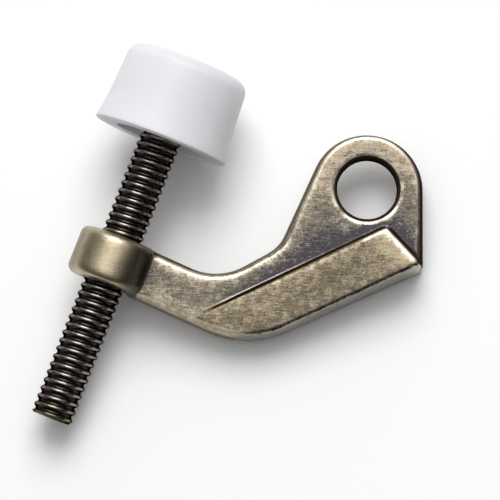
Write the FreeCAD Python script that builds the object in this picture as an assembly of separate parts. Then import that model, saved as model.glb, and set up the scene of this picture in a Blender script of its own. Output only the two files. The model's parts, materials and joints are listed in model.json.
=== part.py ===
import FreeCAD, Part
import math
import os

V = FreeCAD.Vector
os.makedirs("parts", exist_ok=True)

# Hinge pin door stop, in millimetres. The middle of the hinge pin's hole is the origin and +Z is
# the pin's axis. Seen from +Z, the adjusting screw and its bumper are at the left.
# The screw is a 1/4 in - 20 coarse thread, and gives every other size its scale.
INCH = 25.4
screw_d = INCH / 4
run_gap = 0.05               # play between pieces that turn in one another
round_steps = 3              # straight steps in a turned rounding

# Plate of the arm: a lever with an eye at one end and a bay in its upper side. Each side of its
# outline has the direction it faces and, at the height of the screw's axis, its distance from the pin.
plate_t = 4.8
plate_top = 2.8              # above the screw's axis
draft = math.tan(math.radians(6.5))
edge_round = 0.5
back_chamfer = 0.35
pin_hole_r = 4.5
pin_hole_round = 0.9
pin_hole_chamfer = 0.5
eye_r = 8.25
flank_angle = 155.4
flank_corner_r = 6.0
bay_angle = 118.6
bay_side = -1.33
bay_r = 9.0
stop_angle = 293.9
stop_side = 14.4
stop_corner_r = 1.3
belly_r = 14.7

# Boss for the screw, and the bar that carries it, which is as wide as the boss is long
reach = 38.1
drop = 10.65
screw_angle = 68.7
boss_r = 6.1
boss_len = 7.45
boss_round = 1.3
bar_angle = -24.2
bar_root = 3.6               # end of the bar inside the boss, from the screw's axis
bar_corner_r = 0.6

# Stop block: a wedge on the plate that runs out flush toward the bar
block_angle = 115.3
block_side = -5.98
block_end_angle = 43.6
block_corner_r = 1.4
block_rise = 3.3
block_run = 30.2
block_round = 0.5

# Screw and the white bumper that turns freely on its head
screw_tail = 25.3
tail_chamfer = 0.3
bumper_base = 19.4           # from the middle of the boss
bumper_len = 12.7
bumper_base_r = 10.45
bumper_waist = 3.6
bumper_waist_r = 9.82
bumper_end_r = 9.36
bumper_chamfer = 0.25
bumper_round = 1.9
recess_r = 6.9
recess_depth = 1.0
lip_t = 1.6
head_r = 5.4
head_t = 2.6

across = V(0, 0, 1)
plate_back = plate_top - plate_t
boss_at = V(-reach, -drop, 0)
screw_dir = V(math.cos(math.radians(screw_angle)), math.sin(math.radians(screw_angle)), 0)


def facing(angle):
    return V(math.cos(math.radians(angle)), math.sin(math.radians(angle)), 0)


def plan(sides, grow, z):
    """Closed outline at height z from its sides, each moved out by grow. Corners stay concentric."""
    runs = []
    count = len(sides)
    for i in range(count):
        a, b = sides[i], sides[(i + 1) % count]
        n, m = facing(a[0]), facing(b[0])
        span = n.x * m.y - n.y * m.x
        d, e = a[1] + grow, b[1] + grow
        corner = V((d * m.y - e * n.y) / span, (e * n.x - d * m.x) / span, z)
        outward = 1 if span > 0 else -1
        radius = a[2] + outward * grow
        half = math.acos(n.dot(m)) / 2
        reach = radius * math.tan(half)
        start = corner - across.cross(n) * reach
        end = corner + across.cross(m) * reach
        middle = start - n * (outward * radius) + (n + m).normalize() * (outward * radius)
        runs.append((start, middle, end))
    edges = []
    for i in range(count):
        start, middle, end = runs[i]
        edges.append(Part.Arc(start, middle, end).toShape())
        edges.append(Part.makeLine(end, runs[(i + 1) % count][0]))
    return Part.Wire(edges)


def drafted(sides, low, high):
    """Solid that narrows upward by the draft, true to its plan at the height of the screw's axis."""
    return Part.makeLoft([plan(sides, -draft * z, z) for z in (low, high)], True, True)


def turned(profile, axis, out):
    """Solid of revolution about axis, from (distance along it, radius) pairs drawn toward out."""
    points = [axis * s + out * r for s, r in profile]
    face = Part.Face(Part.makePolygon(points + points[:1]))
    return Part.Solid(face.revolve(V(0, 0, 0), axis, 360))


def rounding(s, r, along, outward):
    """Rounded corner of a turned profile about (s, r), from the side to the end."""
    turns = [math.pi / 2 * i / round_steps for i in range(round_steps + 1)]
    return [(s + along * math.sin(t), r + outward * math.cos(t)) for t in turns]


def ring(shape, s, r):
    """Round edge of a turned piece at distance s along the screw, with radius r."""
    return [e for e in shape.Edges if e.Closed and abs(e.CenterOfMass.dot(screw_dir) - s) < 1e-6
            and abs(e.Length - 2 * math.pi * r) < 1e-6]


def rim(shape, z):
    """Edges round the flat face of the plate at height z."""
    return [e for e in shape.Edges if max(abs(v.Z - z) for v in e.Vertexes) < 1e-6]


# Arm casting. The plate's outline runs up its right side and round the eye, down the flank, through
# the bay, along the bar to the screw's axis and back along the underside, the belly and the stop face.
bar_middle = facing(90 + bar_angle).dot(boss_at)
bar_end = facing(90 + screw_angle).dot(boss_at) - bar_root
underside = (270 + bar_angle, boss_len / 2 - bar_middle, belly_r)
stop_face = (stop_angle, stop_side, stop_corner_r)
plate = drafted([
    (0, eye_r, eye_r),
    (flank_angle, eye_r, flank_corner_r),
    (bay_angle, bay_side, bay_r),
    (90 + bar_angle, boss_len / 2 + bar_middle, bar_corner_r),
    (90 + screw_angle, bar_end, bar_corner_r),
    underside,
    stop_face,
], plate_back, plate_top)
plate = plate.makeFillet(edge_round, rim(plate, plate_top))
plate = plate.makeChamfer(back_chamfer, rim(plate, plate_back))
pin_hole = [
    (plate_back, 0),
    (plate_back, pin_hole_r + pin_hole_chamfer),
    (plate_back + pin_hole_chamfer, pin_hole_r),
]
pin_hole += rounding(plate_top - pin_hole_round, pin_hole_r + pin_hole_round, pin_hole_round, -pin_hole_round)
plate = plate.cut(turned(pin_hole + [(plate_top, 0)], across, V(1, 0, 0)))

# The block shares the plate's underside and stop face, and its end wall runs off the plate's own corner.
# It is cut off by a face that slopes down to the plate's top.
stop_way = facing(stop_angle)
corner_x = eye_r - stop_corner_r
corner = V(corner_x, (stop_side - stop_corner_r - stop_way.x * corner_x) / stop_way.y, 0)
block_top = plate_top + 1.5 * block_rise
block = drafted([
    (block_end_angle, facing(block_end_angle).dot(corner) + stop_corner_r, block_corner_r),
    (block_angle, block_side, block_corner_r),
    underside,
    stop_face,
], 0, block_top)
along = facing(block_angle - 90)
aside = facing(block_angle) * block_run
ramp_points = [
    along * (-2 * block_run) + across * (plate_top - block_rise),
    along * block_run + across * (plate_top + 2 * block_rise),
    along * block_run - across * plate_t,
    along * (-2 * block_run) - across * plate_t,
]
ramp_face = Part.Face(Part.makePolygon([p - aside for p in ramp_points + ramp_points[:1]]))
block = block.common(ramp_face.extrude(aside * 2))
lid = max(block.Faces, key=lambda face: face.CenterOfMass.z)
block = block.makeFillet(block_round, lid.Edges)

boss = Part.makeCylinder(boss_r, boss_len, boss_at - screw_dir * (boss_len / 2), screw_dir)
boss = boss.makeFillet(boss_round, [e for e in boss.Edges if e.Closed])
screw_hole_r = screw_d / 2 + run_gap
screw_hole = Part.makeCylinder(screw_hole_r, 2 * boss_len, boss_at - screw_dir * boss_len, screw_dir)
arm = plate.fuse([block, boss]).removeSplitter().cut(screw_hole)
arm.exportStep("parts/arm_casting.step")

# Screw: chamfered tail, plain length to the underside of its round head, inside the bumper
seat = bumper_base + recess_depth + lip_t
head_back = seat + run_gap
screw_side = screw_dir.cross(across)
screw = turned([
    (-screw_tail, 0),
    (-screw_tail, screw_d / 2 - tail_chamfer),
    (-screw_tail + tail_chamfer, screw_d / 2),
    (head_back, screw_d / 2),
    (head_back, head_r),
    (head_back + head_t, head_r),
    (head_back + head_t, 0),
], screw_dir, screw_side)
screw.translate(boss_at)
screw.exportStep("parts/threaded_rod.step")

# Bumper: flared at its base, rounded at its end, with a pocket behind a lip for the screw's head
bumper_end = bumper_base + bumper_len
pocket_end = head_back + head_t + run_gap
lip_r = screw_d / 2 + run_gap
bumper_profile = [
    (bumper_base + recess_depth, recess_r),
    (bumper_base, recess_r),
    (bumper_base, bumper_base_r),
    (bumper_base + bumper_waist, bumper_waist_r),
]
bumper_profile += rounding(bumper_end - bumper_round, bumper_end_r - bumper_round, bumper_round, bumper_round)
bumper_profile += [
    (bumper_end, 0),
    (pocket_end, 0),
    (pocket_end, head_r + run_gap),
    (seat, head_r + run_gap),
    (seat, lip_r),
    (bumper_base + recess_depth, lip_r),
]
bumper = turned(bumper_profile, screw_dir, screw_side)
bumper = bumper.makeChamfer(bumper_chamfer, ring(bumper, bumper_base, bumper_base_r))
bumper.translate(boss_at)
bumper.exportStep("parts/bumper_cap.step")
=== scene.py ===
import bmesh
import bpy
import json
import math
from mathutils import Matrix, Vector


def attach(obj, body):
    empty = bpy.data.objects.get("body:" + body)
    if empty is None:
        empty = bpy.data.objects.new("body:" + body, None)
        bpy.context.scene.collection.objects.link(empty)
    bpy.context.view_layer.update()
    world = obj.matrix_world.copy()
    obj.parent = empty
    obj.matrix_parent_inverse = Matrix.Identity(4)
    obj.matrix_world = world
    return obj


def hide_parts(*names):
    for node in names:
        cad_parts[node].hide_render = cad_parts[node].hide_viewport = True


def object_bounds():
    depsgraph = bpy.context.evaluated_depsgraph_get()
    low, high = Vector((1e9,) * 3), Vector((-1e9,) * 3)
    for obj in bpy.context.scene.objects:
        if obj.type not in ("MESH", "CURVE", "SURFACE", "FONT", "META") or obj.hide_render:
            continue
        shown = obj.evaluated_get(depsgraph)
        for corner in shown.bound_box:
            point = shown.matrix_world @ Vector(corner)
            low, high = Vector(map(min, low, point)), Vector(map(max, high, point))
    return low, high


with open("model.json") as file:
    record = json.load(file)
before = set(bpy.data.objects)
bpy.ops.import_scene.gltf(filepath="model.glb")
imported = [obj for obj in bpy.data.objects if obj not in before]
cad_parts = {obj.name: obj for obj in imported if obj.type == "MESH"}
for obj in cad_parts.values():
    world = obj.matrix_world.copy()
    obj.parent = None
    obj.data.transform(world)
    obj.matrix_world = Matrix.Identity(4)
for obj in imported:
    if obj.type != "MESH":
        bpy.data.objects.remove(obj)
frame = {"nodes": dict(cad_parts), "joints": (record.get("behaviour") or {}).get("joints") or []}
solid_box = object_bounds()

# Arm: one zinc die casting in an antique brass finish, with an eye for the hinge pin, a lever bar, a
# wedge-shaped stop block and a boss for the screw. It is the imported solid, remade with an even skin
# whose edges are worn round, as tumbling wears those of a casting.
MM = 0.001
skin_step = 0.2 * MM
casting_weld = 0.001 * MM
plate_tumbling = 70
block_tumbling = 34
tumbling_rise = 1.5 * MM
edge_rub = 14
buffing = 700
plate_top = 2.8 * MM
pin_hole_r = 4.5 * MM
pin_hole_round = 0.9 * MM
eye_ease = 8.5 * MM
eye_reach = 9 * MM
eye_fade = 2 * MM
boss_r = 6.1 * MM

# The block's foot on the plate, by the way each side faces and its distance from the pin, and stations
# along the block from its thin end toward its tall one
block_angle = math.radians(115.3)
block_side = -6.3 * MM
block_end_angle = math.radians(43.6)
block_end = -1.75 * MM
block_foot = 0.3 * MM
belly_start = -32 * MM
thin_end = -31 * MM
thin_end_past = -28 * MM
belly_past = -22 * MM
mid_block = -18 * MM
root_highlight_end = -9 * MM

pin_rim_r = pin_hole_r + pin_hole_round
pin_way = Vector((0, 0, 1))
block_way = Vector((math.cos(block_angle), math.sin(block_angle), 0))
block_end_way = Vector((math.cos(block_end_angle), math.sin(block_end_angle), 0))
turning = next(joint for joint in frame["joints"] if joint["name"] == "rod_turn")
screw_way = Vector(turning["axis"]).normalized()
boss_middle = Vector(turning["pos_m"])

casting = bmesh.new()
casting.from_mesh(frame["nodes"]["arm_casting"].data)
bmesh.ops.remove_doubles(casting, verts=casting.verts, dist=casting_weld)
solid_mesh = bpy.data.meshes.new("arm_solid")
casting.to_mesh(solid_mesh)
casting.free()
arm = bpy.data.objects.new("arm", solid_mesh)
bpy.context.scene.collection.objects.link(arm)
skin = arm.modifiers.new("skin", "REMESH")
skin.mode = "VOXEL"
skin.voxel_size = skin_step
arm_mesh = bpy.data.meshes.new_from_object(arm.evaluated_get(bpy.context.evaluated_depsgraph_get()))
arm.modifiers.clear()
arm.data = arm_mesh


def stands_proud(shape, passes):
    """How far each point of a skin stands above it once it is rubbed even, and the rubbed points."""
    rub = shape.modifiers.new("rub", "SMOOTH")
    rub.factor = 0.5
    rub.iterations = passes
    even = shape.evaluated_get(bpy.context.evaluated_depsgraph_get()).data
    even_places = [vert.co.copy() for vert in even.vertices]
    shape.modifiers.clear()
    pairs = zip(shape.data.vertices, even_places)
    return [(vert.co - even_place).dot(vert.normal) for vert, even_place in pairs], even_places


# Tumbling only takes metal off, so the creases stay sharp. It rounds the plate more than the block, and
# less and less toward the rim of the pin's hole.
plate_places = stands_proud(arm, plate_tumbling)[1]
block_places = stands_proud(arm, block_tumbling)[1]
worn_places = []
for vert, plate_place, block_place in zip(arm_mesh.vertices, plate_places, block_places):
    up_block = min(max((vert.co.z - plate_top) / tumbling_rise, 0), 1)
    off_rim = min(max((vert.co.xy.length - pin_rim_r) / eye_ease, 0), 1)
    tumbled = vert.co.lerp(plate_place.lerp(block_place, up_block), off_rim)
    taken_off = vert.co.z > 0 and (vert.co - tumbled).dot(vert.normal) > 0
    worn_places.extend(tumbled if taken_off else vert.co)
arm_mesh.vertices.foreach_set("co", worn_places)
arm_mesh.update()

# The near reading finds edges and creases, and the far one what a buffing wheel reaches
for reading, passes in (("edge", edge_rub), ("buffed", buffing)):
    values = [proud_by / MM for proud_by in stands_proud(arm, passes)[0]]
    arm_mesh.attributes.new(reading, "FLOAT", "POINT").data.foreach_set("value", values)
arm_mesh.shade_smooth()


def finish(name):
    """A new material with nodes, its tree and its shader."""
    material = bpy.data.materials.new(name)
    material.use_nodes = True
    return material, material.node_tree, material.node_tree.nodes["Principled BSDF"]


def add(tree, kind, inputs, **settings):
    """A new node with its settings made and its inputs set or joined to other nodes."""
    made = tree.nodes.new("ShaderNode" + kind)
    for setting, value in settings.items():
        setattr(made, setting, value)
    for socket, value in inputs.items():
        if isinstance(value, bpy.types.NodeSocket):
            tree.links.new(value, made.inputs[socket])
        else:
            made.inputs[socket].default_value = value
    return made


def grain(tree, place, size, detail, roughness):
    """Even noise whose patches are about size across."""
    return add(tree, "TexNoise", {
        "Vector": place, "Scale": 1 / size, "Detail": detail, "Roughness": roughness,
    }).outputs["Fac"]


def span(tree, value, low, high, to_low=0.0, to_high=1.0):
    """value from low to high, eased and brought to another range."""
    return add(tree, "MapRange", {
        "Value": value, "From Min": low, "From Max": high, "To Min": to_low, "To Max": to_high,
    }, interpolation_type="SMOOTHSTEP").outputs["Result"]


def sway(tree, noise, low, high, reach):
    """Noise from low to high, brought to a wander of reach to either side of nought."""
    return span(tree, noise, low, high, -reach, reach)


def blend(tree, share, under, over):
    """Colour that goes from under to over as share goes from 0 to 1."""
    return add(tree, "Mix", {"Factor": share, "A": under, "B": over}, data_type="RGBA").outputs["Result"]


def sum_of(tree, operation, first, second):
    """One sum on two numbers."""
    return add(tree, "Math", {0: first, 1: second}, operation=operation).outputs[0]


def both(tree, first, second):
    """Where two masks overlap."""
    return sum_of(tree, "MULTIPLY", first, second)


def either(tree, first, second):
    """The stronger of two masks."""
    return sum_of(tree, "MAXIMUM", first, second)


def all_but(tree, mask):
    """What a mask leaves free."""
    return sum_of(tree, "SUBTRACT", 1.0, mask)


def toward(tree, vector, way):
    """How far a vector reaches one way."""
    return add(tree, "VectorMath", {0: vector, 1: way}, operation="DOT_PRODUCT").outputs["Value"]


patina_dark = (0.066, 0.059, 0.065, 1)
patina_grey = (0.21, 0.18, 0.137, 1)
brass_tan = (0.425, 0.342, 0.246, 1)
brass_olive = (0.15, 0.121, 0.087, 1)
brass_clean = (0.54, 0.448, 0.29, 1)
boss_brass = (0.50, 0.428, 0.288, 1)
boss_shade_dark = (0.040, 0.034, 0.025, 1)
sheen_brass = (0.90, 0.75, 0.48, 1)
brass_bright_and_highlight = (0.88, 0.82, 0.67, 1)
wall_brown = (0.16, 0.133, 0.095, 1)
floor_reflection_grey = (0.46, 0.435, 0.405, 1)
shade_black = (0.030, 0.023, 0.016, 1)
pit_and_shade_black = (0.014, 0.009, 0.004, 1)

antique_brass, tree, shader = finish("antique_brass")
where = add(tree, "TexCoord", {})
place = where.outputs["Object"]
edge_height = add(tree, "Attribute", {}, attribute_name="edge").outputs["Fac"]
buffed_height = add(tree, "Attribute", {}, attribute_name="buffed").outputs["Fac"]
clouds = grain(tree, place, 4 * MM, 3, 0.6)
blotches = grain(tree, place, 1.1 * MM, 4, 0.65)
specks = grain(tree, place, 0.24 * MM, 2, 0.6)
brushed_place = add(tree, "Mapping", {"Vector": place, "Scale": (0.12, 1, 1)}).outputs["Vector"]
brushing = grain(tree, brushed_place, 0.22 * MM, 2, 0.6)

# Places on the casting: the block's top, the boss, the eye, and the upright walls
across_block = toward(tree, place, block_way)
past_end = toward(tree, place, block_end_way)
lengthwise = toward(tree, place, block_way.cross(pin_way))
on_block = sum_of(
    tree, "MINIMUM", span(tree, across_block, block_side, block_side - block_foot),
    span(tree, past_end, block_end, block_end - block_foot),
)
boss_side = screw_way.cross(pin_way)
from_boss = sum_of(tree, "SUBTRACT", toward(tree, place, boss_side), boss_middle.dot(boss_side))
off_boss = span(tree, from_boss, boss_r - 0.9 * MM, boss_r - 0.6 * MM)
flat_place = add(tree, "VectorMath", {0: place, 1: (1, 1, 0)}, operation="MULTIPLY").outputs["Vector"]
from_pin = add(tree, "VectorMath", {0: flat_place}, operation="LENGTH").outputs["Value"]
at_eye = span(tree, from_pin, eye_reach + eye_fade, eye_reach)
facing = add(tree, "SeparateXYZ", {"Vector": where.outputs["Normal"]})
right = span(tree, facing.outputs["X"], 0.25, 0.5)
front = span(tree, facing.outputs["Y"], -0.15, -0.4)
leaning = both(tree, either(tree, right, at_eye), span(tree, facing.outputs["Z"], 0.85, 0.6))
steep = either(tree, span(tree, facing.outputs["Z"], 0.62, 0.42), leaning)
upright = both(tree, steep, off_boss)

# Patina goes over to brass where the wheel reached, in specks, and is thicker toward the block
uneven = sum_of(tree, "ADD", sway(tree, blotches, 0.25, 0.75, 0.16), sway(tree, specks, 0.25, 0.75, 0.2))
streaked = sum_of(tree, "ADD", uneven, sway(tree, brushing, 0.25, 0.75, 0.22))
sheltered = both(
    tree, span(tree, across_block, block_side, -block_side, 0.35, 0),
    span(tree, lengthwise, thin_end_past, mid_block),
)
reached = sum_of(tree, "SUBTRACT", sum_of(tree, "ADD", buffed_height, streaked), sheltered)
grey = blend(tree, span(tree, reached, -0.55, 0.2), patina_dark, patina_grey)
tan = blend(tree, span(tree, reached, 0.08, 0.52), grey, brass_tan)

# The block's top is cleaner brass, most of all at its tall end. The boss is stained, with painted shade at
# its sides, nearly black on the right.
end_wear = span(tree, past_end, block_end - 5 * MM, block_end - 0.6 * MM, 0, 0.8)
polish = sum_of(tree, "ADD", sum_of(tree, "ADD", clouds, streaked), end_wear)
olive = blend(tree, span(tree, polish, 0.1, 1.35), brass_olive, brass_clean)
topped = blend(tree, on_block, tan, olive)
# Painted shade on the boss: a little at its left side, nearly black at its right, where little light falls
boss_left_shade = span(tree, from_boss, -4.4 * MM, -5.8 * MM, 0, 0.6)
boss_right_shade = span(tree, from_boss, 0.8 * MM, 4.6 * MM, 0, 0.92)
stains = span(tree, sum_of(tree, "ADD", clouds, uneven), 0.4, 0.8, 0, 0.4)
stained = blend(tree, stains, boss_brass, brass_olive)
turned = blend(tree, either(tree, boss_left_shade, boss_right_shade), stained, boss_shade_dark)
cleaned = blend(tree, off_boss, turned, topped)
pits = both(tree, off_boss, span(tree, specks, 0.42, 0.3, 0, 0.6))
pitted = blend(tree, pits, cleaned, pit_and_shade_black)
speckled = blend(tree, span(tree, specks, 0.66, 0.76, 0, 0.6), pitted, brass_bright_and_highlight)

# Edges off the boss are burnished and given a painted highlight, and so are the block's tip and the rim of
# the pin's hole.
# The block's front edge, most of its inner one and the plate's right side aren't.
proud = sum_of(tree, "ADD", edge_height, sway(tree, blotches, 0.3, 0.7, 0.012))
inner_edge = both(
    tree, span(tree, across_block, block_side - 1.1 * MM, block_side - 0.7 * MM),
    span(tree, past_end, block_end - 3.5 * MM, block_end - 5.5 * MM),
)
front_edge = both(tree, span(tree, lengthwise, belly_start, belly_past), front)
highlight_free_edges = both(tree, on_block, either(tree, inner_edge, front_edge))
off_block_right = both(tree, right, all_but(tree, on_block))
open_edge = both(tree, off_boss, all_but(tree, either(tree, highlight_free_edges, off_block_right)))
bright_edge = both(tree, span(tree, proud, 0.0, 0.05), open_edge)
bright_rim = both(
    tree, span(tree, from_pin, pin_rim_r + 0.05 * MM, pin_rim_r - 0.1 * MM),
    span(tree, blotches, 0.38, 0.6, 0, 0.85),
)
ragged_end = sum_of(tree, "ADD", past_end, sway(tree, blotches, 0.3, 0.7, 0.5 * MM))
bright_tip = both(tree, on_block, span(tree, ragged_end, block_end - 1.9 * MM, block_end - 0.6 * MM))
wear_and_highlight = either(tree, either(tree, bright_edge, bright_tip), bright_rim)
burnish_and_highlight = blend(tree, wear_and_highlight, speckled, brass_bright_and_highlight)

# The stop face gets a painted grey reflection of the floor, and the bar's lower edge a pale painted sheen
# that is not metal
stop_face_reflection = both(tree, both(tree, upright, front_edge), span(tree, blotches, 0.3, 0.65, 0.35, 0.85))
reflected = blend(tree, stop_face_reflection, burnish_and_highlight, floor_reflection_grey)
lower_side = both(tree, off_boss, span(tree, facing.outputs["Y"], -0.1, -0.3))
# Painted sheen on the bar's lower edge, pale and not metal
lower_edge_sheen = both(tree, lower_side, span(tree, facing.outputs["X"], -0.05, -0.15, 0, 0.85))
sheen_tone = blend(tree, span(tree, blotches, 0.3, 0.7), brass_tan, sheen_brass)
sheened = blend(tree, lower_edge_sheen, reflected, sheen_tone)

# The other upright walls are dark brown, with painted shade toward the foot of the bar's lower side; the
# hole's wall, the right side and the line over the stop face are painted black shade
height = add(tree, "SeparateXYZ", {"Vector": place}).outputs["Z"]
side_walls = both(tree, upright, all_but(tree, front))
# Painted shade darkens the bar's lower side toward its foot
bar_foot_shade = both(tree, lower_edge_sheen, span(tree, height, 2.3 * MM, -0.6 * MM))
brown_walls = either(tree, side_walls, bar_foot_shade)
walled = blend(tree, brown_walls, sheened, wall_brown)
ragged_edge = sum_of(tree, "ADD", proud, sway(tree, specks, 0.3, 0.7, 0.012))
front_shade_line = both(tree, front_edge, span(tree, ragged_edge, 0.018, 0.036))
in_hole = span(tree, from_pin, pin_hole_r + 0.55 * MM, pin_hole_r + 0.45 * MM)
shade_walls = either(tree, both(tree, side_walls, right), in_hole)
painted_shade = either(tree, shade_walls, front_shade_line)
blackened = blend(tree, painted_shade, walled, shade_black)
walls_and_shade = either(tree, brown_walls, painted_shade)

# The creases and the root of the block get painted shade, and a painted highlight runs beside the root
off_junction = span(tree, from_boss, boss_r + 0.2 * MM, boss_r + 0.6 * MM)
crease = both(tree, span(tree, edge_height, -0.04, -0.07), off_junction)
from_root = sum_of(tree, "SUBTRACT", across_block, block_side)
beside = both(
    tree, span(tree, lengthwise, thin_end, thin_end_past),
    span(tree, past_end, block_end, block_end - 0.5 * MM),
)
# A painted highlight runs beside the block's root
root_highlight = both(
    tree, span(tree, from_root, 0.45 * MM, 0.35 * MM), span(tree, from_root, 0.2 * MM, 0.28 * MM)
)
highlight_reach = span(tree, lengthwise, root_highlight_end, mid_block, 0, 0.3)
root_highlight_run = both(tree, both(tree, beside, highlight_reach), root_highlight)
root_shade_line = both(
    tree, span(tree, from_root, 0.25 * MM, 0.15 * MM), span(tree, from_root, -0.34 * MM, -0.2 * MM)
)
shaded_creases = either(tree, crease, both(tree, beside, root_shade_line))
highlighted = blend(tree, root_highlight_run, blackened, brass_bright_and_highlight)
tree.links.new(blend(tree, shaded_creases, highlighted, pit_and_shade_black), shader.inputs["Base Color"])
# The brown walls and the painted shade are dull and not metal, and so is the painted sheen
tree.links.new(span(tree, walls_and_shade, 0, 1, 0.5, 0.0), shader.inputs["Specular IOR Level"])
tree.links.new(span(tree, either(tree, walls_and_shade, lower_edge_sheen), 0, 1, 1.0, 0.0), shader.inputs["Metallic"])
buffed_gloss = span(tree, blotches, 0.3, 0.7, 0.3, 0.38)
walls_and_shade_gloss = sum_of(tree, "ADD", buffed_gloss, span(tree, walls_and_shade, 0, 1, 0, 0.3))
tree.links.new(walls_and_shade_gloss, shader.inputs["Roughness"])
relief = add(tree, "Bump", {
    "Height": sum_of(tree, "ADD", specks, sum_of(tree, "ADD", blotches, brushing)),
    "Distance": 0.03 * MM, "Strength": 0.6,
})
tree.links.new(relief.outputs["Normal"], shader.inputs["Normal"])
arm_mesh.materials.append(antique_brass)
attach(arm, "arm")
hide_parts("arm_casting")

# Adjusting screw: a steel rod with a rolled 1/4 in - 20 right-hand thread, in a dark bronze plating
# that is worn to bright metal on the crests. Its tail is chamfered, and the bumper hides its round head.
pitch = 1.27 * MM
crest_r = 3.175 * MM
root_r = 2.79 * MM
tail_at = -25.3 * MM
tail_chamfer = 0.3 * MM
neck_at = 22.05 * MM
head_r = 5.4 * MM
head_t = 2.6 * MM
turn_steps = 56
head_steps = 64
turned_weld = 0.002 * MM

screw_place = Matrix.Translation(boss_middle) @ screw_way.to_track_quat("Z", "Y").to_matrix().to_4x4()
turns = math.ceil((neck_at - tail_at) / pitch) + 2

# One flank of the thread from root to crest: its share of a pitch from the crest, its radius and its wear
flank = [
    (0.50, root_r, 0.0),
    (0.41, root_r + 0.01 * MM, 0.0),
    (0.345, root_r + 0.06 * MM, 0.0),
    (0.165, crest_r - 0.07 * MM, 0.5),
    (0.105, crest_r - 0.02 * MM, 1.0),
]
ridge = [(-away, out, wear) for away, out, wear in flank] + [(0.0, crest_r, 1.0)] + flank[::-1]
rod = bmesh.new()
wear_layer = rod.verts.layers.float.new("worn")
corners = []
for away, out, wear in ridge:
    corner = rod.verts.new((out, 0, away * pitch + tail_at - pitch))
    corner[wear_layer] = wear
    corners.append(corner)
section = [rod.edges.new(pair) for pair in zip(corners, corners[1:])]
bmesh.ops.spin(
    rod, geom=corners + section, cent=(0, 0, 0), axis=(0, 0, 1), dvec=(0, 0, pitch / turn_steps),
    angle=math.tau, steps=turn_steps, use_merge=False, use_duplicate=False,
)
one_turn = rod.verts[:] + rod.edges[:] + rod.faces[:]
for turn in range(1, turns):
    copied = bmesh.ops.duplicate(rod, geom=one_turn)["geom"]
    bmesh.ops.translate(
        rod, vec=(0, 0, turn * pitch), verts=[part for part in copied if isinstance(part, bmesh.types.BMVert)]
    )
bmesh.ops.remove_doubles(rod, verts=rod.verts, dist=turned_weld)
for end, outward in ((tail_at, -1), (neck_at, 1)):
    whole = rod.verts[:] + rod.edges[:] + rod.faces[:]
    bmesh.ops.bisect_plane(rod, geom=whole, plane_co=(0, 0, end), plane_no=(0, 0, outward), clear_outer=True)
for vert in rod.verts:
    out = vert.co.xy.length
    allowed = crest_r - tail_chamfer + (vert.co.z - tail_at)
    if out > allowed:
        vert.co.xy *= allowed / out
bmesh.ops.holes_fill(rod, edges=[edge for edge in rod.edges if edge.is_boundary])
bmesh.ops.recalc_face_normals(rod, faces=rod.faces)
for face in rod.faces:
    face.smooth = True
bmesh.ops.create_cone(
    rod, cap_ends=True, segments=head_steps, radius1=head_r, radius2=head_r, depth=head_t,
    matrix=Matrix.Translation((0, 0, neck_at + head_t / 2)),
)
bmesh.ops.transform(rod, matrix=screw_place, verts=rod.verts)
screw_mesh = bpy.data.meshes.new("adjusting_screw")
rod.to_mesh(screw_mesh)
rod.free()
screw = bpy.data.objects.new("adjusting_screw", screw_mesh)
bpy.context.scene.collection.objects.link(screw)

bronze_dark = (0.040, 0.033, 0.029, 1)
bronze_worn = (0.31, 0.28, 0.265, 1)
bronze_edge = (0.11, 0.10, 0.095, 1)
tail_brass = (0.22, 0.19, 0.11, 1)

dark_bronze, tree, shader = finish("dark_bronze")
place = add(tree, "TexCoord", {}).outputs["Object"]
crest = add(tree, "Attribute", {}, attribute_name="worn").outputs["Fac"]
scuffs = grain(tree, place, 0.6 * MM, 3, 0.6)
bare = span(tree, sum_of(tree, "ADD", crest, sway(tree, scuffs, 0.3, 0.7, 0.2)), 0.3, 1.15)
from_tail = sum_of(tree, "SUBTRACT", toward(tree, place, screw_way), boss_middle.dot(screw_way) + tail_at)
brassy = span(tree, from_tail, 3.0 * MM, 0.4 * MM)
plating = blend(tree, bare, bronze_dark, blend(tree, brassy, bronze_worn, tail_brass))
tree.links.new(plating, shader.inputs["Base Color"])
shader.inputs["Metallic"].default_value = 1.0
shader.inputs["Specular Tint"].default_value = bronze_edge
tree.links.new(span(tree, scuffs, 0.3, 0.7, 0.18, 0.3), shader.inputs["Roughness"])
relief = add(tree, "Bump", {"Height": scuffs, "Distance": 0.01 * MM, "Strength": 0.4})
tree.links.new(relief.outputs["Normal"], shader.inputs["Normal"])
screw_mesh.materials.append(dark_bronze)
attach(screw, "rod")
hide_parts("threaded_rod")

# Bumper: a cap moulded in soft white plastic, flared at its base and rounded at its closed end. Its
# pocket snaps over the screw's head, behind a lip, so that it can turn on the screw.
cap_base = 19.4 * MM
cap_len = 12.7 * MM
cap_base_r = 10.45 * MM
cap_waist = 3.6 * MM
cap_waist_r = 9.82 * MM
cap_end_r = 9.36 * MM
cap_rim_round = 0.3 * MM
cap_flare_round = 2.6 * MM
cap_end_round = 1.9 * MM
recess_r = 6.9 * MM
recess_depth = 1.0 * MM
recess_round = 0.15 * MM
lip_t = 1.6 * MM
lip_round = 0.1 * MM
play = 0.05 * MM
cap_steps = 160
round_steps = 8

cap_end = cap_base + cap_len
recess_floor = cap_base + recess_depth
seat = recess_floor + lip_t
pocket_end = seat + head_t + 2 * play
pocket_r = head_r + play
lip_r = crest_r + play

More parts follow.
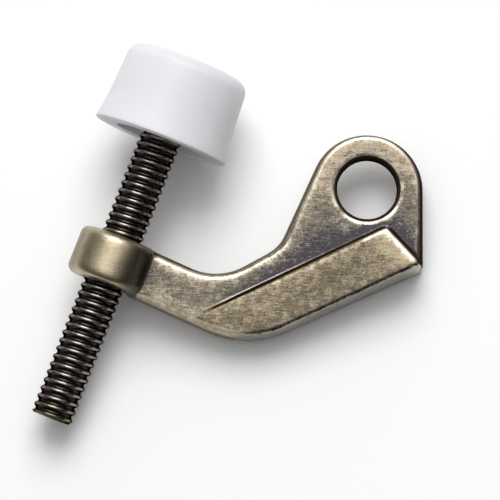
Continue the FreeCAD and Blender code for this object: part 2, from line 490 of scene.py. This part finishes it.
# Corners from the lip round the outside to the closed end: distance along the screw, radius and rounding
cap_profile = [
    (recess_floor, lip_r, lip_round),
    (recess_floor, recess_r, recess_round),
    (cap_base, recess_r, recess_round),
    (cap_base, cap_base_r, cap_rim_round),
    (cap_base + cap_waist, cap_waist_r, cap_flare_round),
    (cap_end, cap_end_r, cap_end_round),
]
cap = bmesh.new()
rounded = [(cap.verts.new((out, 0, along)), ease) for along, out, ease in cap_profile]
pole = cap.verts.new((0, 0, cap_end))
pocket = [
    cap.verts.new((0, 0, pocket_end)),
    cap.verts.new((pocket_r, 0, pocket_end)),
    cap.verts.new((pocket_r, 0, seat)),
    cap.verts.new((lip_r, 0, seat)),
]
chain = pocket + [vert for vert, ease in rounded] + [pole]
for pair in zip(chain, chain[1:]):
    cap.edges.new(pair)
for vert, ease in rounded:
    bmesh.ops.bevel(
        cap, geom=[vert], offset=ease, offset_type="OFFSET", segments=round_steps, profile=0.5,
        affect="VERTICES", material=-1,
    )
bmesh.ops.spin(
    cap, geom=cap.verts[:] + cap.edges[:], cent=(0, 0, 0), axis=(0, 0, 1), dvec=(0, 0, 0),
    angle=math.tau, steps=cap_steps, use_merge=True, use_duplicate=False,
)
bmesh.ops.remove_doubles(cap, verts=cap.verts, dist=turned_weld)
bmesh.ops.recalc_face_normals(cap, faces=cap.faces)
for face in cap.faces:
    face.smooth = True
bmesh.ops.transform(cap, matrix=screw_place, verts=cap.verts)
cap_mesh = bpy.data.meshes.new("bumper")
cap.to_mesh(cap_mesh)
cap.free()
bumper = bpy.data.objects.new("bumper", cap_mesh)
bpy.context.scene.collection.objects.link(bumper)

cap_white = (0.795, 0.79, 0.82, 1)
cap_grey = (0.755, 0.75, 0.78, 1)
cap_end_shade = (0.69, 0.685, 0.71, 1)

white_bumper, tree, shader = finish("white_bumper")
place = add(tree, "TexCoord", {}).outputs["Object"]
haze = grain(tree, place, 6 * MM, 3, 0.6)
pores = grain(tree, place, 0.2 * MM, 2, 0.5)
moulded = blend(tree, span(tree, haze, 0.35, 0.75, 0, 0.5), cap_white, cap_grey)
# Painted shade greys the rounding at the closed end
from_end = sum_of(tree, "SUBTRACT", boss_middle.dot(screw_way) + cap_end, toward(tree, place, screw_way))
end_shaded = blend(tree, span(tree, from_end, 1.7 * MM, 0.5 * MM), moulded, cap_end_shade)
tree.links.new(end_shaded, shader.inputs["Base Color"])
tree.links.new(span(tree, haze, 0.3, 0.7, 0.4, 0.5), shader.inputs["Roughness"])
shader.inputs["Specular IOR Level"].default_value = 0.35
shader.inputs["Subsurface Weight"].default_value = 0.3
shader.inputs["Subsurface Radius"].default_value = (2.0, 1.9, 1.8)
shader.inputs["Subsurface Scale"].default_value = MM
relief = add(tree, "Bump", {"Height": pores, "Distance": 0.01 * MM, "Strength": 0.3})
tree.links.new(relief.outputs["Normal"], shader.inputs["Normal"])
cap_mesh.materials.append(white_bumper)
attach(bumper, "bumper")
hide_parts("bumper_cap")

# Floor: a sheet of plain white paper under the door stop, which lies on it on the bumper's rim and the
# stop corner, so the sheet is tipped in the frame of the hinge pin. The camera sees it a little lighter
# than the light makes it, so that its open parts are white and its shadows stay.
floor_half = 3.0
floor_lift = 0.02
floor_up = Vector((-0.1258, 0.18, 1)).normalized()
floor_level = min(floor_up.dot(vert.co) for node in frame["nodes"].values() for vert in node.data.vertices)
floor_mesh = bpy.data.meshes.new("floor")
paper = bmesh.new()
bmesh.ops.create_grid(
    paper, x_segments=1, y_segments=1, size=floor_half,
    matrix=Matrix.Translation(floor_up * floor_level) @ floor_up.to_track_quat("Z", "Y").to_matrix().to_4x4(),
)
paper.to_mesh(floor_mesh)
paper.free()
floor = bpy.data.objects.new("floor", floor_mesh)
bpy.context.scene.collection.objects.link(floor)
paper_white, tree, shader = finish("paper_white")
shader.inputs["Base Color"].default_value = (0.95, 0.95, 0.95, 1)
shader.inputs["Roughness"].default_value = 0.9
shader.inputs["Specular IOR Level"].default_value = 0.1
ray = add(tree, "LightPath", {})
seen = either(tree, ray.outputs["Is Camera Ray"], ray.outputs["Is Glossy Ray"])
tree.links.new(sum_of(tree, "MULTIPLY", seen, floor_lift), shader.inputs["Emission Strength"])
shader.inputs["Emission Color"].default_value = (1, 1, 1, 1)
floor_mesh.materials.append(paper_white)

# Light: one large softbox beyond the upper side of the arm, in a room with a pale ceiling and with pale
# walls at the left and beyond. The camera sees the room itself as white.
softbox_way = Vector((-0.03, 0.66, 0.75)).normalized()
softbox_distance = 0.9
softbox_size = 0.6
softbox_power = 5.0
ceiling_way = Vector((-0.08, 0.36, 1)).normalized()
ceiling_light = 1.6
ceiling_focus = 6
left_wall_way = Vector((-1, 0, 0))
left_wall_light = 0.06
left_wall_focus = 1
back_wall_way = Vector((0, 1, 0))
back_wall_light = 0.8
back_wall_focus = 3
far_room = 0.06
seen_room = 1.0

lamp = bpy.data.lights.new("key", "AREA")
lamp.shape = "SQUARE"
lamp.size = softbox_size
lamp.energy = softbox_power
softbox = bpy.data.objects.new("key", lamp)
softbox.location = (solid_box[0] + solid_box[1]) / 2 + softbox_way * softbox_distance
softbox.rotation_euler = softbox_way.to_track_quat("Z", "Y").to_euler()
bpy.context.scene.collection.objects.link(softbox)

room = bpy.data.worlds.new("room")
room.use_nodes = True
bpy.context.scene.world = room
tree = room.node_tree
background = tree.nodes["Background"]
outlook = add(tree, "TexCoord", {}).outputs["Generated"]
room_light = far_room
for side_way, light, focus in (
    (ceiling_way, ceiling_light, ceiling_focus),
    (left_wall_way, left_wall_light, left_wall_focus),
    (back_wall_way, back_wall_light, back_wall_focus),
):
    faced = sum_of(tree, "MAXIMUM", toward(tree, outlook, side_way), 0)
    glow = sum_of(tree, "MULTIPLY", sum_of(tree, "POWER", faced, focus), light)
    room_light = sum_of(tree, "ADD", room_light, glow)
camera_ray = add(tree, "LightPath", {}).outputs["Is Camera Ray"]
shown = add(tree, "Mix", {"Factor": camera_ray, "A": room_light, "B": seen_room}).outputs["Result"]
tree.links.new(shown, background.inputs["Strength"])
background.inputs["Color"].default_value = (0.99, 0.995, 1.0, 1)

# Camera: above the face with the stop block, tipped a little toward the lower side of the arm. It stands
# well off with a long lens, so the part shows almost no perspective.
camera_tip = math.radians(4.4)
camera_distance = 0.7
view_middle = Vector((-17.54 * MM, -9.0 * MM, 0))
view_width = 74.96 * MM
lens = bpy.data.cameras.new("camera")
lens.sensor_width = 36
lens.lens = lens.sensor_width * camera_distance / view_width
lens.clip_start = 0.01
camera = bpy.data.objects.new("camera", lens)
camera.rotation_euler = (camera_tip, 0, 0)
camera.location = view_middle + Vector((0, -math.sin(camera_tip), math.cos(camera_tip))) * camera_distance
bpy.context.scene.collection.objects.link(camera)
bpy.context.scene.camera = camera
bpy.context.scene.view_settings.view_transform = "Standard"
